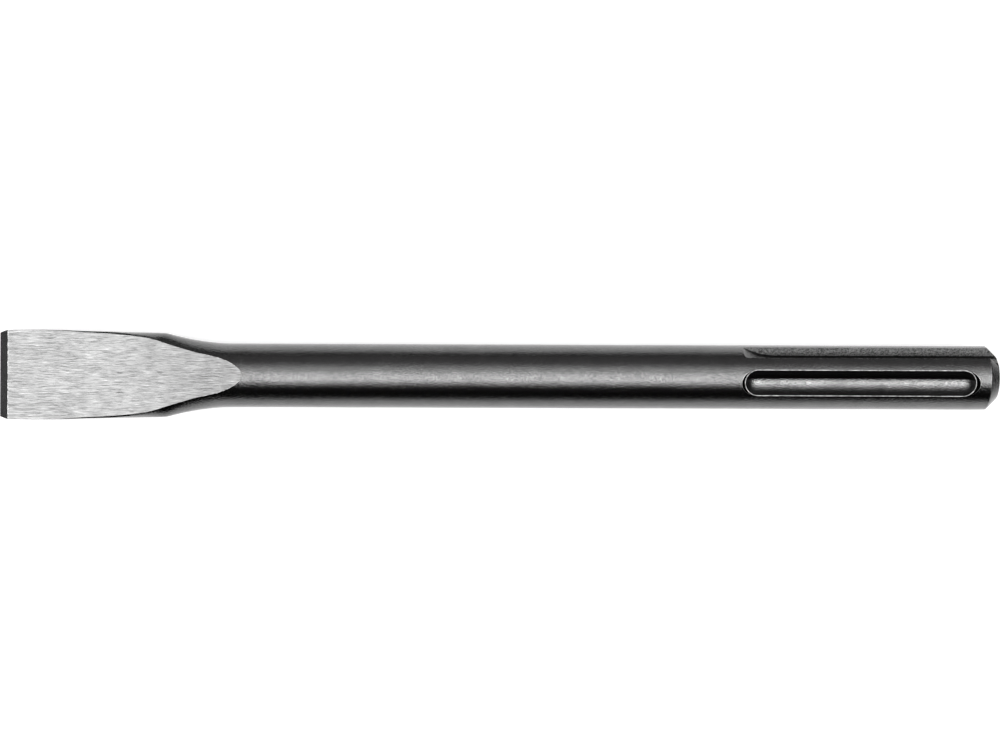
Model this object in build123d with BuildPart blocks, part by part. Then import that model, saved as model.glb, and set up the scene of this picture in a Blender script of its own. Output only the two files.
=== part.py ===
from build123d import *
from math import acos, cos, degrees, radians, sin, sqrt, tan
import os

# Flat chisel with a slotted-drive shank, forged, milled and ground from one bar of steel.
# The origin is the centre of the striking face, and +X runs along the tool to the cutting edge.
# The blade lies flat: its two ground faces look along +Z and -Z, and its width lies along Y.

# Whole tool
overall_length = 280.0
shaft_diameter = 18.0

# Forged blank: full width and height of its oval sections, and the run from one to the next
edge_width = 24.9
crown_run = 10.0
crown_width = 25.2
blade_height = 21.0
shoulder_run = 18.0
shoulder_width = 24.5
shoulder_height = 20.2
waist_run = 13.0
waist_width = 23.95
waist_height = 16.0
neck_run = 5.6
neck_width = 23.7
neck_height = 13.9
flare_run = 19.4

# Ground faces, the same on both sides of the blade
edge_land = 0.5
bevel_run = 2.4
bevel_thickness = 4.1
taper_run = 27.6
taper_angle = 2.0
hollow_run = 38.3
corner_run = 2.2
corner_width = 0.65

# The grooves and slots of the shank are turned a little from the blade's flat
key_turn = 11.2

# Closed locking grooves, on opposite sides of the shank
groove_from_face = 7.0
groove_length = 64.2
groove_width = 7.3
groove_depth = 3.8
groove_end_flare = 52.0

# Open drive slots, a pair on one side and a single one opposite
slot_length = 71.4
slot_width = 4.55
slot_depth = 3.0
slot_runout_radius = 17.0
slot_pair_spread = 54.6

# Chamfer of the striking end, and broken edges
end_chamfer = 2.95
end_break = 0.4
groove_break = 0.15

shaft_radius = shaft_diameter / 2
overcut = 1.5


def blade_x(from_edge):
    """Place along the tool of a distance measured back from the cutting edge."""
    return overall_length - from_edge


def outward(angle):
    """Direction out of the shank at an angle from +Z towards +Y."""
    return Vector(0, sin(radians(angle)), cos(radians(angle)))


def side_plane(angle, height=0):
    """Plane along the tool, at a height from its axis, with its own Y axis pointing outward."""
    return Plane(
        origin=outward(angle) * height,
        x_dir=(1, 0, 0),
        z_dir=Vector(1, 0, 0).cross(outward(angle)),
    )


def floor_plane(angle, height):
    """Plane square to the outward direction, at a height from the tool's axis."""
    return Plane(origin=outward(angle) * height, x_dir=(1, 0, 0), z_dir=outward(angle))


# Places along the tool, back from the cutting edge
shoulder_from_edge = crown_run + shoulder_run
waist_from_edge = shoulder_from_edge + waist_run
neck_from_edge = waist_from_edge + neck_run
shaft_from_edge = neck_from_edge + flare_run

# Round bar with the chamfered striking end
with BuildPart() as bar:
    with BuildSketch(Plane.YZ):
        Circle(shaft_radius)
    extrude(amount=blade_x(shaft_from_edge))
    chamfer(bar.edges().filter_by(GeomType.CIRCLE).sort_by(Axis.X)[0], length=end_chamfer)
    fillet(bar.edges().filter_by(GeomType.CIRCLE).sort_by(Axis.X)[:2], radius=end_break)

# Flare from the neck, at 0 of its run, back to the round bar, at 1
flare_steps = [1.0, 0.8, 0.6, 0.4, 0.2, 0.0]
width_bend = 2.0
height_bend = 1.3
with BuildPart() as flare:
    for step in flare_steps:
        width = shaft_diameter + (neck_width - shaft_diameter) * (1 - step) ** width_bend
        height = shaft_diameter + (neck_height - shaft_diameter) * (1 - step) ** height_bend
        with BuildSketch(Plane.YZ.offset(blade_x(neck_from_edge + flare_run * step))):
            Ellipse(width / 2, height / 2)
    loft()

# Forged blank of the blade, before its faces are ground
blank_sections = [
    (neck_from_edge, neck_width, neck_height),
    (waist_from_edge, waist_width, waist_height),
    (shoulder_from_edge, shoulder_width, shoulder_height),
    (crown_run, crown_width, blade_height),
    (0, edge_width, blade_height),
]
with BuildPart() as blank:
    for from_edge, width, height in blank_sections:
        with BuildSketch(Plane.YZ.offset(blade_x(from_edge))):
            Ellipse(width / 2, height / 2)
    loft()

# What grinding takes off each face: the cutting bevel, a flat taper, and the wheel's hollow
bevel_rise = bevel_thickness / 2
taper_from_edge = bevel_run + taper_run
taper_rise = bevel_rise + taper_run * tan(radians(taper_angle))
hollow_rise = shaft_radius - taper_rise
hollow_sag = hollow_rise * cos(radians(taper_angle)) - hollow_run * sin(radians(taper_angle))
hollow_radius = (hollow_run**2 + hollow_rise**2) / (2 * hollow_sag)
hollow_end = degrees(acos(cos(radians(taper_angle)) - (hollow_rise + overcut) / hollow_radius))
above_blank = max(blade_height, shaft_diameter)
with BuildPart() as ground_off:
    with BuildSketch(Plane.XZ):
        with BuildLine():
            bevel = Line((blade_x(0), edge_land / 2), (blade_x(bevel_run), bevel_rise))
            taper = Line(bevel @ 1, (blade_x(taper_from_edge), taper_rise))
            hollow = JernArc(taper @ 1, taper % 1, hollow_radius, taper_angle - hollow_end)
            Polyline(
                hollow @ 1,
                ((hollow @ 1).X, above_blank),
                (blade_x(-overcut), above_blank),
                (blade_x(-overcut), edge_land / 2),
                bevel @ 0,
            )
        make_face()
    extrude(amount=max(crown_width, shaft_diameter), both=True)
    mirror(about=Plane.XY)

# What is cut back from the two corners of the cutting edge
with BuildPart() as corners_off:
    with BuildSketch():
        with BuildLine():
            Polyline(
                (blade_x(-overcut), edge_width / 2 - corner_width * (1 + overcut / corner_run)),
                (blade_x(corner_run + overcut), edge_width / 2 + corner_width * overcut / corner_run),
                (blade_x(corner_run + overcut), edge_width),
                (blade_x(-overcut), edge_width),
                close=True,
            )
        make_face()
    extrude(amount=blade_height, both=True)
    mirror(about=Plane.XZ)

# A locking groove is round-bottomed with ball-shaped ends, so its cutter is a capsule
half_groove = groove_width / 2
groove_floor = shaft_radius - groove_depth
groove_rim = sqrt(shaft_radius**2 - half_groove**2)
ball_radius = (half_groove**2 + (groove_rim - groove_floor) ** 2) / (2 * (groove_rim - groove_floor))
ball_height = groove_floor + ball_radius
ball_places = [groove_from_face + half_groove, groove_from_face + groove_length - half_groove]
flare_slope = tan(radians(groove_end_flare))
flare_half = half_groove + groove_break

# A drive slot has a flat floor that runs out of the shank on the cutter's radius
slot_floor = shaft_radius - slot_depth
runout_end = degrees(acos(1 - (slot_depth + overcut) / slot_runout_radius))
runout_run = sqrt(slot_runout_radius**2 - (slot_runout_radius - slot_depth) ** 2)

with BuildPart() as flat_chisel:
    add(bar.part)
    add(flare.part)
    add(blank.part)
    add(ground_off.part, mode=Mode.SUBTRACT)
    add(corners_off.part, mode=Mode.SUBTRACT)

    for groove_angle in (key_turn, key_turn + 180):
        groove_side = side_plane(groove_angle, ball_height)
        with BuildSketch(groove_side):
            with Locations((sum(ball_places) / 2, 0)):
                SlotCenterToCenter(ball_places[1] - ball_places[0], 2 * ball_radius)
            split(bisect_by=Plane.XZ)
        revolve(axis=Axis(groove_side.origin, (1, 0, 0)), mode=Mode.SUBTRACT)
        with BuildSketch(floor_plane(groove_angle, groove_rim - overcut)):
            with Locations((sum(ball_places) / 2, 0)):
                SlotCenterToCenter(ball_places[1] - ball_places[0], 2 * (flare_half - flare_slope * overcut))
        extrude(amount=2 * overcut, taper=-groove_end_flare, mode=Mode.SUBTRACT)

    for slot_angle in (-90 - slot_pair_spread / 2, -90 + slot_pair_spread / 2, 90):
        with BuildSketch(side_plane(key_turn + slot_angle)):
            with BuildLine():
                floor = Line((-overcut, slot_floor), (slot_length - runout_run, slot_floor))
                runout = JernArc(floor @ 1, floor % 1, slot_runout_radius, runout_end)
                Polyline(runout @ 1, (-overcut, shaft_radius + overcut), floor @ 0)
            make_face()
        extrude(amount=slot_width / 2, both=True, mode=Mode.SUBTRACT)

flat_chisel.part.label = "flat_chisel"
os.makedirs("parts", exist_ok=True)
export_step(flat_chisel.part, "parts/flat_chisel.step")
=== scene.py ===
from math import asin, atan2, ceil, cos, degrees, pi, radians, sin, sqrt, tan

import bmesh
import bpy
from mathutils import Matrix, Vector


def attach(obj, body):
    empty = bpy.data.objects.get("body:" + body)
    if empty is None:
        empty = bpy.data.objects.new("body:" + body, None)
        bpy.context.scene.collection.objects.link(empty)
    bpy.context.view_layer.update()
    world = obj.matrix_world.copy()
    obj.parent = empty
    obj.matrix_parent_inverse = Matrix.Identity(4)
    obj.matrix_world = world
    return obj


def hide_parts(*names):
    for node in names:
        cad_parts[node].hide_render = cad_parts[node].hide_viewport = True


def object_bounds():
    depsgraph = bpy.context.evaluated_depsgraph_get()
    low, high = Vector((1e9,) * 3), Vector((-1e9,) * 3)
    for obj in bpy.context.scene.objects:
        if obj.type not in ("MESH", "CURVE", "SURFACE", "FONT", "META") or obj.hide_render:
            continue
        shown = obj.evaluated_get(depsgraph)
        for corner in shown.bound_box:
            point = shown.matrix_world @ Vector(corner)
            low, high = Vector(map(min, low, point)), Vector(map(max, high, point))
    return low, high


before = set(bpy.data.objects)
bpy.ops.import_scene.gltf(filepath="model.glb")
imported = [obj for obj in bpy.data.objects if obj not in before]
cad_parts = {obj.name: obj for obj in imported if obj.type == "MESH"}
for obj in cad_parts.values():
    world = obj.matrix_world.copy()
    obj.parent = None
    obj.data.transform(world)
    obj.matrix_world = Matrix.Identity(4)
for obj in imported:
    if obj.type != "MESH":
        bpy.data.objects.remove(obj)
cad_low, cad_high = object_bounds()


# Slotted shank: the end that the hammer holds, turned round on the chisel's one bar of tool steel, with
# a chamfered striking face. Two closed locking grooves are cut by a ball-ended cutter, and three open
# drive slots are milled from the striking face and run out on their cutter's radius.

# Sizes are in millimetres and angles in degrees. x runs from the striking face, and angles run round
# the bar from the blade's upper face (+Z) towards +Y.
MILLIMETRE = 0.001
shaft_radius = (cad_high.z - cad_low.z) / MILLIMETRE / 2
end_chamfer = 2.95
end_break = 0.4
# How far the striking face's rounded corner reaches to either side of the sharp one.
break_run = 0.166
groove_from_face = 7.0
groove_length = 64.2
groove_width = 7.3
groove_depth = 3.8
groove_flare = 48.0
widest_flare = 5.6
ledge_outside = 3.72
ledge_width = 0.17
rim_width = 0.09
slot_length = 71.4
slot_width = 4.55
slot_depth = 3.0
slot_runout_radius = 17.0
slot_break = 0.06
# The pattern of grooves and slots is turned a little from the blade. Two of the slots are a pair.
key_turn = 11.2
slot_pair_spread = 54.6

half_groove = groove_width / 2
groove_floor = shaft_radius - groove_depth
ledge_height = sqrt(shaft_radius**2 - ledge_outside**2)
ledge_inside = ledge_outside - ledge_width
ball_radius = (ledge_inside**2 / (ledge_height - groove_floor) + ledge_height - groove_floor) / 2
ball_height = groove_floor + ball_radius
first_ball = groove_from_face + half_groove
last_ball = groove_from_face + groove_length - half_groove
slot_floor = shaft_radius - slot_depth
runout_run = sqrt(slot_runout_radius**2 - (slot_runout_radius - slot_depth) ** 2)

skin_materials = []


def linear(code):
    """Linear colour of an sRGB hex code."""
    values = [int(code[k:k + 2], 16) / 255 for k in (1, 3, 5)]
    return (*[v / 12.92 if v <= 0.04045 else ((v + 0.055) / 1.055) ** 2.4 for v in values], 1)


def add_node(tree, kind, inputs=(), stops=(), **settings):
    """Adds a node with its settings and its colour stops, and fills or links its inputs."""
    node = tree.nodes.new(kind)
    for name, value in settings.items():
        setattr(node, name, value)
    for number, (stop, code) in enumerate(stops):
        if number > 1:
            node.color_ramp.elements.new(stop)
        node.color_ramp.elements[number].position = stop
        node.color_ramp.elements[number].color = linear(code)
    for name, value in dict(inputs).items():
        if isinstance(value, bpy.types.NodeSocket):
            tree.links.new(value, node.inputs[name])
        else:
            node.inputs[name].default_value = value
    return node


def cells(width):
    """Pattern scale for cells of a given width, to the nearest ten cells in a metre."""
    return round(1 / (width * MILLIMETRE), -1)


def new_finish(name, roughness):
    """New steel finish: its number on the skin, its nodes, its shader and the place on the object."""
    material = bpy.data.materials.new(name)
    material.use_nodes = True
    skin_materials.append(material)
    tree = material.node_tree
    shader = tree.nodes["Principled BSDF"]
    shader.inputs["Metallic"].default_value = 1.0
    shader.inputs["Roughness"].default_value = roughness
    place = add_node(tree, "ShaderNodeTexCoord").outputs["Object"]
    return len(skin_materials) - 1, tree, shader, place


def coat(tree, shader, colour, height, depth):
    """Gives a finish its colour and a relief of a given depth."""
    relief = add_node(tree, "ShaderNodeBump", {"Height": height, "Distance": depth * MILLIMETRE})
    tree.links.new(colour, shader.inputs["Base Color"])
    tree.links.new(relief.outputs["Normal"], shader.inputs["Normal"])


# Blasted and blackened steel, the finish that the forging keeps: a thin, fairly glossy black scale of
# cloudy thickness over blasting grain, which speckles and spreads the reflections. The real grain is
# about half as wide; it is drawn as wide as the camera tells it apart.
cloud_width = 5.9
speck_width = 0.4
grain_width = 0.345
grain_depth = 0.085


def blackened(name, dark, light, depth):
    """Blackened steel between two tones, with blasting grain of a given depth."""
    number, tree, shader, place = new_finish(name, 0.2)
    cloud = add_node(
        tree,
        "ShaderNodeTexNoise",
        {"Vector": place, "Scale": cells(cloud_width), "Detail": 4.0, "Roughness": 0.65},
    )
    speck = add_node(
        tree,
        "ShaderNodeTexNoise",
        {"Vector": place, "Scale": cells(speck_width), "Detail": 1.5, "Roughness": 0.6},
    )
    grain = add_node(
        tree,
        "ShaderNodeTexNoise",
        {"Vector": place, "Scale": cells(grain_width), "Detail": 1.5, "Roughness": 0.5},
    )
    clouded = add_node(
        tree,
        "ShaderNodeValToRGB",
        {"Fac": cloud.outputs["Fac"]},
        stops=((0.35, dark), (0.65, light)),
    )
    speckled = add_node(
        tree,
        "ShaderNodeValToRGB",
        {"Fac": speck.outputs["Fac"]},
        stops=((0.36, "#dadada"), (0.64, "#ffffff")),
    )
    mottled = add_node(
        tree,
        "ShaderNodeMixRGB",
        {"Fac": 1.0, "Color1": clouded.outputs["Color"], "Color2": speckled.outputs["Color"]},
        blend_type="MULTIPLY",
    )
    tone = mottled.outputs["Color"]
    coat(tree, shader, tone, grain.outputs["Fac"], depth)
    return number, tree, shader, place, tone


BLACKENED = blackened("blasted_blackened_steel", "#646464", "#6c6c6c", grain_depth)[0]


def bare(name, roughness, spot_width, depth, stops):
    """Bare steel with a relief of a given depth, in darker and lighter spots of a given width."""
    number, tree, shader, place = new_finish(name, roughness)
    spots = add_node(
        tree,
        "ShaderNodeTexNoise",
        {"Vector": place, "Scale": cells(spot_width), "Detail": 3.0, "Roughness": 0.7},
    )
    tone = add_node(tree, "ShaderNodeValToRGB", {"Fac": spots.outputs["Fac"]}, stops=stops)
    coat(tree, shader, tone.outputs["Color"], spots.outputs["Fac"], depth)
    return number


# The slots' walls are left rough and grey by the cutter, which tears the steel in spots of half a
# millimetre. The corners of their floors and the grooves' flares are painted almost black: painted shade in
# the corners and hollows, where the light hardly reaches.
SLOT_WALL = bare(
    "milled_slot_steel",
    roughness=0.62,
    spot_width=0.525,
    depth=0.12,
    stops=((0.38, "#686868"), (0.64, "#c4c4c4")),
)
PAINTED_SHADE = blackened("painted_shade_steel", "#121212", "#1a1a1a", grain_depth)[0]

# The chamfer and the striking face are turned and hold the black a little darker than the blasted skin.
TURNED_END = blackened("turned_end_steel", "#444444", "#585858", grain_depth * 0.7)[0]

# Rims and edges are worn through the black to the steel, in spots of 0.8 mm, so they catch the light.
WORN_EDGE = bare(
    "worn_edge_steel",
    roughness=0.32,
    spot_width=0.77,
    depth=0.06,
    stops=((0.42, "#6a6a6a"), (0.6, "#a8a8a8")),
)

# One wall of each locking groove is painted nearly black: painted shade on that wall. The groove's own
# sideways and outward axes say which wall a place is on, for the groove on either side of the shank. The
# painted shade fades out between two distances sideways of the middle.
GROOVE, tree, shader, place, tone = blackened(
    "locking_groove_steel",
    "#707070",
    "#868686",
    grain_depth * 1.4,
)
shader.inputs["Roughness"].default_value = 0.27
shade_full = -0.74
shade_none = -0.56
sideways_axis = (0, cos(radians(key_turn)), -sin(radians(key_turn)))
outward_axis = (0, sin(radians(key_turn)), cos(radians(key_turn)))
sideways = add_node(tree, "ShaderNodeVectorMath", {0: place, 1: sideways_axis}, operation="DOT_PRODUCT")
outward = add_node(tree, "ShaderNodeVectorMath", {0: place, 1: outward_axis}, operation="DOT_PRODUCT")
side = add_node(tree, "ShaderNodeMath", {0: outward.outputs["Value"]}, operation="SIGN")
across = add_node(
    tree,
    "ShaderNodeMath",
    {0: sideways.outputs["Value"], 1: side.outputs["Value"]},
    operation="MULTIPLY",
)
# Painted shade: share by which the wall's tone is mixed towards near black.
wall_shade = add_node(
    tree,
    "ShaderNodeMapRange",
    {
        "Value": across.outputs["Value"],
        "From Min": shade_full * MILLIMETRE,
        "From Max": shade_none * MILLIMETRE,
        "To Min": 1.0,
        "To Max": 0.0,
    },
    interpolation_type="SMOOTHSTEP",
)
half_shaded = add_node(
    tree,
    "ShaderNodeMixRGB",
    {"Fac": wall_shade.outputs["Result"], "Color1": tone, "Color2": linear("#161616")},
)
tree.links.new(half_shaded.outputs["Color"], shader.inputs["Base Color"])


def bar_radius(x):
    """Radius of the turned bar behind its chamfered end."""
    corner = end_break * tan(radians(22.5))
    if x >= end_chamfer + corner:
        return shaft_radius
    if x > end_chamfer - corner * cos(radians(45)):
        away = end_chamfer + corner - x
        return shaft_radius - end_break + sqrt(end_break**2 - away**2)
    return shaft_radius - end_chamfer + x


def spread(stretches, last):
    """Places up to a last one, from stretches that each give their start and their spacing."""
    places = []
    for (first, step), (after, _) in zip(stretches, stretches[1:] + [(last, 0)]):
        count = max(round(abs((after - first) / step)), 1)
        places += [first + (after - first) * k / count for k in range(count)]
    return places + [last]


# Rows stand close at the chamfer's rounded corner, at the grooves' ends and at the slots' run-outs.
# Round each groove the rows leave a patch open, which the groove's own loops fill.
patch_start = 5.6
patch_end = 72.8
patch_reach = 29.5
patch_steps = 16
patch_turns = [patch_reach * (2 * k / patch_steps - 1) for k in range(patch_steps + 1)]
shank_end = 73.5
corner_first = end_chamfer - 0.12
corner_last = end_chamfer + 0.55
runout_first = 61.6
tip_first = 70.3
tip_last = 71.7
stretches = [
    (break_run, 0.35),
    (corner_first, 0.053),
    (corner_last, 0.5),
    (patch_start, 0.44),
    (first_ball, 1.4),
    (runout_first, 0.6),
    (last_ball, 0.4),
    (tip_first, 0.1),
    (tip_last, 0.36),
    (patch_end, 0.7),
]
shank_places = spread(stretches, shank_end)

# Painted shade in the corners of a slot's floor is three strips wide. It loses a strip with every 1.2 mm
# towards the slot's end, where the slot grows shallow.
wall_steps = 6
floor_steps = 10
shade_steps = 3
shade_run = 1.2


def around(angle, sideways, height):
    """Point of a cross-section, given from a feature that looks out of the bar at an angle."""
    turned = radians(angle)
    y = sideways * cos(turned) + height * sin(turned)
    z = height * cos(turned) - sideways * sin(turned)
    return y, z


def slot_sector(angle, x, radius):
    """Section across a drive slot: rounded rim, wall, floor, wall and rounded rim."""
    half = slot_width / 2
    rim = sqrt(radius**2 - half**2)
    rise = 0.0
    if x > slot_length - runout_run:
        run = min(x - (slot_length - runout_run), slot_runout_radius)
        rise = slot_runout_radius - sqrt(slot_runout_radius**2 - run**2)
    floor = slot_floor + rise
    wall_foot = min(floor, rim)
    edge = min(slot_break, (rim - wall_foot) / 2)
    side = [(half + edge, sqrt(radius**2 - (half + edge) ** 2))]
    side.append((half + edge * (1 - sqrt(0.5)), rim - edge * (1 - sqrt(0.5))))
    for step in range(wall_steps + 1):
        side.append((half, rim - edge - (rim - edge - wall_foot) * step / wall_steps))
    points = [around(angle, -sideways, height) for sideways, height in side]
    for step in range(1, floor_steps):
        sideways = slot_width * step / floor_steps - half
        points.append(around(angle, sideways, min(floor, sqrt(radius**2 - sideways**2))))
    points += [around(angle, sideways, height) for sideways, height in reversed(side)]
    return points


# One slot is alone on its side and two are a pair. The skin between a groove or slot and the next is
# divided in a number of strips.
slot_angles = (key_turn + 90, key_turn + 270 - slot_pair_spread / 2, key_turn + 270 + slot_pair_spread / 2)
land_steps = (10, 10, 6, 7, 6)


def shank_ring(x, radius):
    """Closed section of the slotted shank, and the finish of each of its strips."""
    skin = BLACKENED
    if x < end_chamfer + end_break / 2:
        skin = TURNED_END if x < end_chamfer - 0.1 else WORN_EDGE
    slot_reach = degrees(asin(slot_width / 2 / radius))
    cuts = [
        ("groove", key_turn),
        ("slot", slot_angles[0]),
        ("groove", key_turn + 180),
        ("slot", slot_angles[1]),
        ("slot", slot_angles[2]),
    ]
    ring = []
    finishes = []
    for number, (kind, angle) in enumerate(cuts):
        after_kind, after_angle = cuts[(number + 1) % len(cuts)]
        reach = patch_reach if kind == "groove" else slot_reach
        after_reach = patch_reach if after_kind == "groove" else slot_reach
        if kind == "groove":
            ring += [around(angle + turn, 0, radius) for turn in patch_turns]
            finishes += [None if patch_start < x <= patch_end else skin] * patch_steps + [skin]
        else:
            ring += slot_sector(angle, x, radius)
            wall = [skin] * 2 + [SLOT_WALL] * wall_steps
            # Painted shade: the floor's corners get the almost black finish, fewer strips towards the slot's
            # end.
            strips = min(max(ceil((slot_length - x) / shade_run), 0), shade_steps)
            corner = [PAINTED_SHADE] * strips
            floor = corner + [BLACKENED] * (floor_steps - 2 * strips) + corner
            finishes += wall + floor + wall[::-1] + [skin]
        first = angle + reach
        last = after_angle - after_reach + (360 if number == len(cuts) - 1 else 0)
        steps = land_steps[number]
        for step in range(1, steps):
            ring.append(around(first + (last - first) * step / steps, 0, radius))
            finishes.append(skin)
    return ring, finishes


# The skin is one closed mesh, gathered row by row from the middle of the striking face to the cutting
# edge. The striking face is flat as far as its rounded corner.
skin_points = []
skin_faces = []


def add_row(points):
    """Adds a row of corners to the skin and gives their numbers."""
    first = len(skin_points)
    skin_points.extend(points)
    return list(range(first, first + len(points)))


def join_rows(near, far, finishes):
    """Covers the strip between two closed rows, one finish for each face, or None for a gap."""
    for k in range(len(near)):
        after = (k + 1) % len(near)
        if finishes[k] is not None:
            skin_faces.append(((near[k], far[k], far[after], near[after]), finishes[k]))


face_radius = shaft_radius - end_chamfer + break_run
flat_radius = shaft_radius - end_chamfer - break_run
face_radii = (1.5, 3.2, 4.6, flat_radius, flat_radius + 0.11, flat_radius + 0.2, flat_radius + 0.27)
face_ring = shank_ring(break_run, face_radius)[0]
rows = [add_row([(0.0, 0.0, 0.0)] * len(face_ring))]
for radius in face_radii:
    bulge = end_break - sqrt(max(end_break**2 - max(radius - flat_radius, 0) ** 2, 0))
    scale = radius / face_radius
    rows.append(add_row([(bulge, y * scale, z * scale) for y, z in face_ring]))
for near, far in zip(rows, rows[1:]):
    join_rows(near, far, [TURNED_END] * len(near))
near = rows[-1]
for x in shank_places:
    ring, finishes = shank_ring(x, bar_radius(x))
    far = add_row([(x, y, z) for y, z in ring])
    join_rows(near, far, finishes)
    near = far
shank_last_row = near
shank_last_ring = ring

# Each locking groove is a patch of loops round its middle line, from the floor out to the bar's own rows.
patch_rows = [x for x in shank_places if patch_start <= x <= patch_end]
patch_outline = [(x, -patch_reach) for x in patch_rows]
patch_outline += [(patch_end, turn) for turn in patch_turns[1:]]
patch_outline += [(x, patch_reach) for x in reversed(patch_rows[:-1])]
patch_outline += [(patch_start, turn) for turn in reversed(patch_turns[1:-1])]
ball_shares = (0, 0.15, 0.3, 0.45, 0.58, 0.7, 0.8, 0.88, 0.94, 0.98)
flare_shares = (0.35, 0.7)
least_worn_flare = 0.25


def flare_end(lean):
    """Where the flared end meets the bar, on a line that leans sideways by a sine."""
    low = ledge_outside
    high = widest_flare
    for _ in range(40):
        out = (low + high) / 2
        flare = ledge_height + (out - ledge_outside) / tan(radians(groove_flare))
        if flare < sqrt(shaft_radius**2 - (out * lean) ** 2):
            low = out
        else:
            high = out
    return low


def groove_line(x, turn):
    """Corners from a groove's middle line to one corner of its outline, and the finish after each."""
    middle = min(max(x, first_ball), last_ball)
    along = x - middle
    lean = shaft_radius * sin(radians(turn))
    away = sqrt(along**2 + lean**2)
    along /= away
    lean /= away
    points = []
    for share in ball_shares:
        out = ledge_inside * share
        points.append((out, ball_height - sqrt(ball_radius**2 - out**2), GROOVE))
    points.append((ledge_inside, ledge_height, WORN_EDGE))
    # From the ledge out, the groove's flared ends get the almost black finish: painted shade in the hollow.
    points.append((ledge_outside, ledge_height, PAINTED_SHADE))
    end = flare_end(lean) if abs(lean) < 1 else ledge_outside
    for share in flare_shares:
        out = ledge_outside + (end - ledge_outside) * share
        points.append((out, ledge_height + (out - ledge_outside) / tan(radians(groove_flare)), PAINTED_SHADE))
    worn = WORN_EDGE if end > ledge_outside + least_worn_flare else BLACKENED
    for out, finish in ((end, worn), (end + rim_width, BLACKENED), (end + (away - end) / 2, BLACKENED)):
        points.append((out, sqrt(shaft_radius**2 - (out * lean) ** 2), finish))
    return [(middle + out * along, out * lean, height, finish) for out, height, finish in points]


for groove_angle in (key_turn, key_turn + 180):
    lines = [groove_line(x, turn) for x, turn in patch_outline]
    near = None
    for column in zip(*lines):
        far = add_row([(x, *around(groove_angle, sideways, height)) for x, sideways, height, _ in column])
        if near:
            join_rows(near, far, finishes)
        near = far
        finishes = [corner[3] for corner in column]
    edge_row = add_row([(x, *around(groove_angle + turn, 0, shaft_radius)) for x, turn in patch_outline])
    join_rows(near, edge_row, finishes)


# Round shaft: plain bar, blasted after forging, so its surface is very slightly uneven. It runs from
# behind the slots to the tip of the ground faces.
flank_steps = 56
tip_from_edge = 69.1
overall_length = (cad_high.x - cad_low.x) / MILLIMETRE
shaft_end = overall_length - tip_from_edge


def zip_rows(near, near_angles, far, far_angles, finish):
    """Covers the strip between two closed rows of different counts, in order of angle."""
    i = j = 0
    while i < len(near) or j < len(far):
        next_near = near_angles[i + 1] if i + 1 < len(near) else near_angles[0] + 360
        next_far = far_angles[j + 1] if j + 1 < len(far) else far_angles[0] + 360
        a = near[i % len(near)]
        b = far[j % len(far)]
        if j >= len(far) or (i < len(near) and next_near <= next_far):
            skin_faces.append(((a, b, near[(i + 1) % len(near)]), finish))
            i += 1
        else:
            skin_faces.append(((a, b, far[(j + 1) % len(far)]), finish))
            j += 1


turns = [360 * k / (2 * flank_steps) for k in range(2 * flank_steps)]
shank_angles = [degrees(atan2(y, z)) % 360 for y, z in shank_last_ring]
first = shank_angles.index(min(shank_angles))
shank_order = shank_last_row[first:] + shank_last_row[:first]
shank_angles = shank_angles[first:] + shank_angles[:first]
near = None
for x in spread([(shank_end + 1.2, 1.5)], shaft_end):
    far = add_row([(x, *around(turn, 0, shaft_radius)) for turn in turns])
    if near:
        join_rows(near, far, [BLACKENED] * len(far))
    else:
        zip_rows(shank_order, shank_angles, far, turns, BLACKENED)
    near = far


# Blade: the bar is drop forged into a flare and a flat oval, left black on its sides. Each flat is then
# ground on a wheel, first straight and then in a long hollow that runs out on the shaft as a tongue,
# and the cutting edge gets a short bevel from both sides. Distances here run back from the edge.
bevel_run = 2.58
half_land = 0.25
half_at_bevel = 2.05
taper_run = 27.5
taper_angle = 2.0
hollow_run = 38.3
corner_run = 2.2
corner_width = 0.65
face_steps = 24

taper_end = bevel_run + taper_run
half_at_taper = half_at_bevel + taper_run * tan(radians(taper_angle))
hollow_rise = shaft_radius - half_at_taper
hollow_sag = hollow_rise * cos(radians(taper_angle)) - hollow_run * sin(radians(taper_angle))
hollow_radius = (hollow_run**2 + hollow_rise**2) / (2 * hollow_sag)

# Each entry stands at a distance from the edge. Half the outline's width and half the ground face's
# width are measured in the photo. How square the flank's section is, and how wide and how steep the
# worn step between the face and the flank is, are matched to its reflections.
half_widths = [
    (0, 12.45), (2.5, 12.47), (6, 12.57), (10, 12.6), (14, 12.58), (18, 12.53), (23, 12.4), (28, 12.28),
    (35, 12.1), (40, 11.99), (45.4, 11.88), (46.6, 11.82), (47.4, 11.68), (48.9, 11.27), (50.6, 10.85),
    (52.3, 10.47), (53.9, 10.15), (55.6, 9.86), (57.3, 9.6), (59, 9.39), (60.7, 9.21), (62.4, 9.09),
    (64.1, 9.02), (66, shaft_radius), (69.1, shaft_radius),
]
face_reaches = [
    (0, 12.43), (2.5, 12.44), (6, 12.55), (10, 12.57), (14, 12.52), (18, 12.36), (21, 12.14), (23.5, 11.96),
    (26.8, 11.77), (28.5, 11.69), (31.8, 11.52), (33.5, 11.38), (35.1, 11.21), (36.8, 11.06), (38.5, 10.86),
    (40.1, 10.65), (41.8, 10.38), (43.5, 10.02), (45.1, 9.55), (46.8, 8.99), (48.5, 8.47), (50.1, 7.98),
    (51.8, 7.5), (53.5, 7.01), (55.1, 6.55), (56.8, 6.1), (58.5, 5.7), (60.1, 5.35), (61.8, 4.95),
    (63.5, 4.42), (65.1, 3.78), (66.8, 2.86), (67.6, 2.32), (68.2, 1.84), (68.6, 1.42), (68.9, 0.94),
    (69.1, 0),
]
flank_powers = [(0, 2), (40, 2), (43.5, 2.12), (46.5, 2.35), (50, 2.2), (55, 2), (69.1, 2)]
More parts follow.
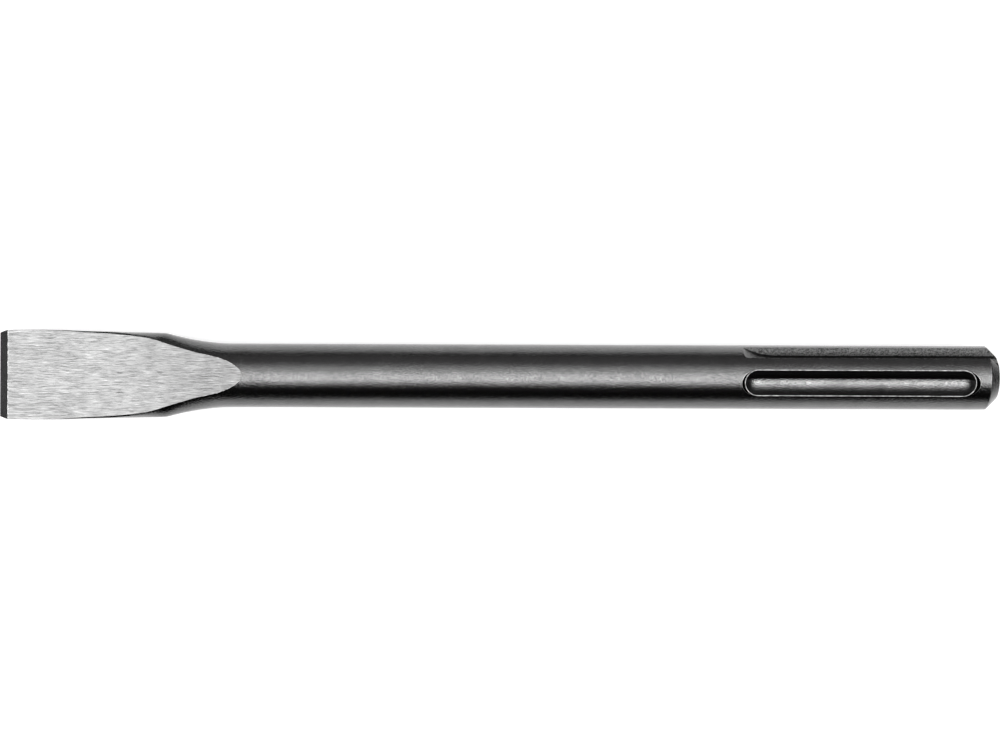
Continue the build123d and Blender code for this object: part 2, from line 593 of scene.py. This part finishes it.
edge_breaks = [
    (0, 0.015), (14, 0.05), (20, 0.2), (26, 0.34), (32, 0.46), (40, 0.52), (44, 0.5), (47, 0.28), (52, 0.14),
    (57, 0.08), (66, 0.1), (69.1, 0),
]
edge_drops = [(0, 0.78), (53, 0.78), (57, 0.25), (69.1, 0.25)]
# The worn step takes at most this share of the half thickness. The face stops a little inside the
# outline, and the step too.
most_worn = 0.2
face_inset = 0.01
step_inset = 0.002
# From these distances on, the tongue lies on the round shaft and has a burr. The bevel's burr is narrow.
tongue_from = 58
tongue_burr_from = 57
bevel_burr = 0.08

# Wheel-ground steel: bright, with slightly wavy streaks along the tool, seven to a millimetre and a few
# millimetres long, light ones beside dark ones, and a faint broad haze. The real scratches are finer;
# the streaks are drawn as wide as the eye tells them apart at the photo's distance.
streak_width = 1 / 7
streak_length = 4
waver_length = 3.8
waver_reach = 0.5
haze_width = 7.7
GROUND, tree, shader, place = new_finish("wheel_ground_steel", 0.5)
waver = add_node(
    tree,
    "ShaderNodeTexNoise",
    {"Vector": place, "Scale": cells(waver_length), "Detail": 1.5, "Roughness": 0.5},
)
drift = add_node(
    tree,
    "ShaderNodeVectorMath",
    {0: waver.outputs["Color"], 1: (0, waver_reach * MILLIMETRE, 0)},
    operation="MULTIPLY",
)
wavy = add_node(tree, "ShaderNodeVectorMath", {0: place, 1: drift.outputs["Vector"]}, operation="ADD")
streak_cells = (cells(streak_length), cells(streak_width), cells(streak_length))
along = add_node(tree, "ShaderNodeMapping", {"Vector": wavy.outputs["Vector"], "Scale": streak_cells})
streak = add_node(
    tree,
    "ShaderNodeTexNoise",
    {"Vector": along.outputs["Vector"], "Scale": 1.0, "Detail": 2.0, "Roughness": 0.6},
)
haze = add_node(
    tree,
    "ShaderNodeTexNoise",
    {"Vector": place, "Scale": cells(haze_width), "Detail": 6.0, "Roughness": 0.75},
)
streaked = add_node(
    tree,
    "ShaderNodeValToRGB",
    {"Fac": streak.outputs["Fac"]},
    stops=((0.28, "#646464"), (0.44, "#9e9e9e"), (0.58, "#aeaeae"), (0.72, "#d2d2d2")),
)
hazed = add_node(
    tree,
    "ShaderNodeValToRGB",
    {"Fac": haze.outputs["Fac"]},
    stops=((0.36, "#ececec"), (0.62, "#ffffff")),
)
tone = add_node(
    tree,
    "ShaderNodeMixRGB",
    {"Fac": 1.0, "Color1": streaked.outputs["Color"], "Color2": hazed.outputs["Color"]},
    blend_type="MULTIPLY",
)
coat(tree, shader, tone.outputs["Color"], streak.outputs["Fac"], 0.08)

# The cutting bevel is black again, and matt, from the oil in which the edge was quenched.
BEVEL, _, shader, _, _ = blackened("quenched_bevel_steel", "#606060", "#6a6a6a", grain_depth * 0.5)
shader.inputs["Roughness"].default_value = 0.5

# The wheel leaves a fine bright burr along the bevel and round the tongue.
BURR = bare(
    "burr_steel",
    roughness=0.32,
    spot_width=0.77,
    depth=0.06,
    stops=((0.42, "#6a6a6a"), (0.6, "#f4f4f4")),
)


def smooth_table(table, place):
    """Value between a table's entries, on a curve that never overshoots them."""
    slopes = [(b[1] - a[1]) / (b[0] - a[0]) for a, b in zip(table, table[1:])]
    tangents = [slopes[0]]
    for left, right in zip(slopes, slopes[1:]):
        tangents.append(2 * left * right / (left + right) if left * right > 0 else 0)
    tangents.append(slopes[-1])
    k = 0
    while k < len(table) - 2 and place > table[k + 1][0]:
        k += 1
    run = table[k + 1][0] - table[k][0]
    t = min(max((place - table[k][0]) / run, 0), 1)
    value = (2 * t**3 - 3 * t**2 + 1) * table[k][1] + (3 * t**2 - 2 * t**3) * table[k + 1][1]
    return value + run * ((t**3 - 2 * t**2 + t) * tangents[k] + (t**3 - t**2) * tangents[k + 1])


def face_height(place):
    """Half thickness of the ground blade."""
    if place < bevel_run:
        return half_land + (half_at_bevel - half_land) * place / bevel_run
    if place < taper_end:
        return half_at_bevel + (place - bevel_run) * tan(radians(taper_angle))
    past = place - taper_end + hollow_radius * sin(radians(taper_angle))
    return half_at_taper + hollow_radius * cos(radians(taper_angle)) - sqrt(hollow_radius**2 - past**2)


def blade_ring(place):
    """Closed section of the blade: upper face, flank, lower face and flank."""
    width = smooth_table(half_widths, place)
    reach = smooth_table(face_reaches, place)
    face = min(face_height(place), shaft_radius)
    if place > tongue_from:
        face = min(face, sqrt(shaft_radius**2 - reach**2))
    most = width
    if place < corner_run:
        most = half_widths[0][1] - corner_width * (1 - place / corner_run)
    edge = min(smooth_table(edge_breaks, place), most_worn * face)
    reach = min(reach, most - face_inset)
    shoulder = min(reach + edge, most - step_inset)
    foot = face - edge * smooth_table(edge_drops, place)
    power = smooth_table(flank_powers, place)
    filled = (shoulder / width) ** power
    height = foot / (1 - filled) ** (1 / power)
    start = asin(sqrt(filled))
    flank = []
    for step in range(flank_steps + 1):
        turn = start + (pi - 2 * start) * step / flank_steps
        out = min(width * sin(turn) ** (2 / power), most)
        flank.append((out, height * abs(cos(turn)) ** (2 / power) * (1 if step < flank_steps / 2 else -1)))
    upper = [(reach * (2 * step / face_steps - 1), face) for step in range(face_steps + 1)]
    ring = upper + flank
    return ring + [(-y, -z) for y, z in ring]


# Rows stand close at the tongue's tip, where the ground face ends in a point.
flare_foot = 46.6
tip_rows = (0, 0.03, 0.08, 0.15, 0.25, 0.4, 0.6, 0.85, 1.15, 1.5, 1.9, 2.4)
stretches = [
    (tip_from_edge - 2.9, 0.6),
    (flare_foot, 0.7),
    (bevel_run + bevel_burr, bevel_burr),
    (bevel_run, 0.4),
    (corner_run, 0.3),
    (corner_run - 0.3, 0.4),
]
places = [tip_from_edge - back for back in tip_rows] + spread(stretches, 0)
near = None
for place in places:
    ring = blade_ring(place)
    far = add_row([(overall_length - place, y, z) for y, z in ring])
    if near:
        face = GROUND
        burred = place > tongue_burr_from
        if place < bevel_run + bevel_burr / 2:
            burred = True
            face = BURR if place > bevel_run - bevel_burr / 2 else BEVEL
        rim = BURR if burred else BLACKENED
        finishes = [face] * face_steps + [rim] + [BLACKENED] * flank_steps + [rim]
        join_rows(near, far, finishes * 2)
    near = far
skin_faces.append((tuple(reversed(near)), BEVEL))


# The one skin: corners that fall together are welded, the forged surface gets its shallow unevenness,
# and edges stay crisp where a cutter or wheel left them. The unevenness is waves of two sizes, which
# fade out at the striking face and towards the blade.
scale_loss = 0.028
slow_wave = 0.016
quick_wave = 0.008
# Corners are welded when they fall in the same cell, 20,000 of which make a millimetre.
weld_cells = 2e4
sharp_bend = radians(32)
finish_bend = radians(8)


def settled(x, y, z):
    """Corner in metres, with the bar's unevenness, which only ever lies inside its true size."""
    turn = atan2(y, z)
    slow = sin(x / 9.0 + 2 * sin(turn + x / 40)) * sin(2 * turn + x / 23)
    quick = sin(x / 2.7 + 3 * turn) * sin(5 * turn - x / 3.9)
    share = min(max((shaft_end + 8 - x) / 20, 0), 1) * min(x / 4, 1)
    pull = 1 - share * (scale_loss + slow_wave * slow + quick_wave * quick) / shaft_radius
    return x * MILLIMETRE, y * pull * MILLIMETRE, z * pull * MILLIMETRE


number_at = {}
welded = []
kept_corners = []
for point in skin_points:
    key = tuple(round(value * weld_cells) for value in point)
    if key not in number_at:
        number_at[key] = len(kept_corners)
        kept_corners.append(settled(*point))
    welded.append(number_at[key])
kept_faces = []
kept_finishes = []
for corners, finish in skin_faces:
    loop = []
    for corner in corners:
        number = welded[corner]
        if not loop or number != loop[-1]:
            loop.append(number)
    if loop[0] == loop[-1]:
        loop.pop()
    if len(set(loop)) == len(loop) and len(loop) > 2:
        kept_faces.append(loop)
        kept_finishes.append(finish)

chisel_mesh = bpy.data.meshes.new("chisel")
chisel_mesh.from_pydata(kept_corners, [], kept_faces)
chisel_mesh.polygons.foreach_set("material_index", kept_finishes)
chisel_mesh.shade_smooth()
skin = bmesh.new()
skin.from_mesh(chisel_mesh)
loose = [corner for corner in skin.verts if not corner.link_faces]
bmesh.ops.delete(skin, geom=loose, context="VERTS")
for edge in skin.edges:
    if len(edge.link_faces) == 2:
        one, other = edge.link_faces
        bend = one.normal.angle(other.normal, 0)
        if bend > sharp_bend or (one.material_index != other.material_index and bend > finish_bend):
            edge.smooth = False
skin.to_mesh(chisel_mesh)
skin.free()
for material in skin_materials:
    chisel_mesh.materials.append(material)
chisel = bpy.data.objects.new("chisel", chisel_mesh)
bpy.context.scene.collection.objects.link(chisel)
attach(chisel, "root")
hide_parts("flat_chisel")


# Studio: a white table that glows enough to leave no shadow and ends a little outside the picture, one
# long softbox overhead with a weaker one beside it, a dim card towards the back, and a dark room, which
# the dark bands of the steel mirror. The camera itself sees white behind the table.

# The studio's and the camera's sizes are in metres.
table_depth = 0.14
table_margin = 0.045
table_gap = 0.0002
table_ends = (cad_low.x - table_margin, cad_high.x + table_margin)
table_top = cad_low.z - table_gap
floor_mesh = bpy.data.meshes.new("white_table")
corners = [(x, side * table_depth, table_top) for x, side in zip(table_ends * 2, (-1, -1, 1, 1))]
floor_mesh.from_pydata(corners, [], [(0, 1, 3, 2)])
floor = bpy.data.objects.new("white_table", floor_mesh)
bpy.context.scene.collection.objects.link(floor)
table = bpy.data.materials.new("white_table")
table.use_nodes = True
shader = table.node_tree.nodes["Principled BSDF"]
shader.inputs["Base Color"].default_value = linear("#d0d0d0")
shader.inputs["Roughness"].default_value = 1.0
shader.inputs["Specular IOR Level"].default_value = 0.0
shader.inputs["Emission Color"].default_value = (1, 1, 1, 1)
shader.inputs["Emission Strength"].default_value = 0.52
floor_mesh.materials.append(table)

middle = (cad_low.x + cad_high.x) / 2
light_distance = 0.9
light_length = 1.9


def softbox(name, tilt, width, radiance):
    """Long area light over the tool, tilted from overhead towards +Y, with a given brightness."""
    light = bpy.data.lights.new(name, "AREA")
    light.shape = "RECTANGLE"
    light.size = light_length
    light.size_y = width
    light.energy = radiance * pi * light_length * width
    lamp = bpy.data.objects.new(name, light)
    lamp.location = (middle, light_distance * sin(radians(tilt)), light_distance * cos(radians(tilt)))
    lamp.rotation_euler = (radians(-tilt), 0, 0)
    lamp.visible_camera = False
    bpy.context.scene.collection.objects.link(lamp)


softbox("overhead_softbox", tilt=9, width=0.51, radiance=4.5)
softbox("side_softbox", tilt=-20.5, width=0.43, radiance=1.8)
softbox("back_card", tilt=-57, width=0.76, radiance=0.27)

room_tone = 0.008
world = bpy.data.worlds.new("studio")
world.use_nodes = True
bpy.context.scene.world = world
tree = world.node_tree
room = tree.nodes["Background"]
room.inputs["Color"].default_value = (room_tone, room_tone, room_tone, 1)
backdrop = add_node(tree, "ShaderNodeBackground", {"Color": (1, 1, 1, 1), "Strength": 1.0})
seen = add_node(tree, "ShaderNodeLightPath")
both = add_node(
    tree,
    "ShaderNodeMixShader",
    {0: seen.outputs["Is Camera Ray"], 1: room.outputs["Background"], 2: backdrop.outputs["Background"]},
)
tree.links.new(both.outputs["Shader"], tree.nodes["World Output"].inputs["Surface"])

view = bpy.context.scene.view_settings
view.view_transform = "Standard"
view.look = "None"


# Camera: square on above the tool, as in the photograph, with the striking end to the right. Its lens
# and place were fitted to the outline in the photograph.
lens_length = 67.085
lens_place = (0.13927, -0.00033, 0.525)
lens_turn = 180.206
lens = bpy.data.cameras.new("photo_camera")
lens.lens = lens_length
lens.sensor_width = 36
camera = bpy.data.objects.new("photo_camera", lens)
camera.location = lens_place
camera.rotation_euler = (0, 0, radians(lens_turn))
bpy.context.scene.collection.objects.link(camera)
bpy.context.scene.camera = camera
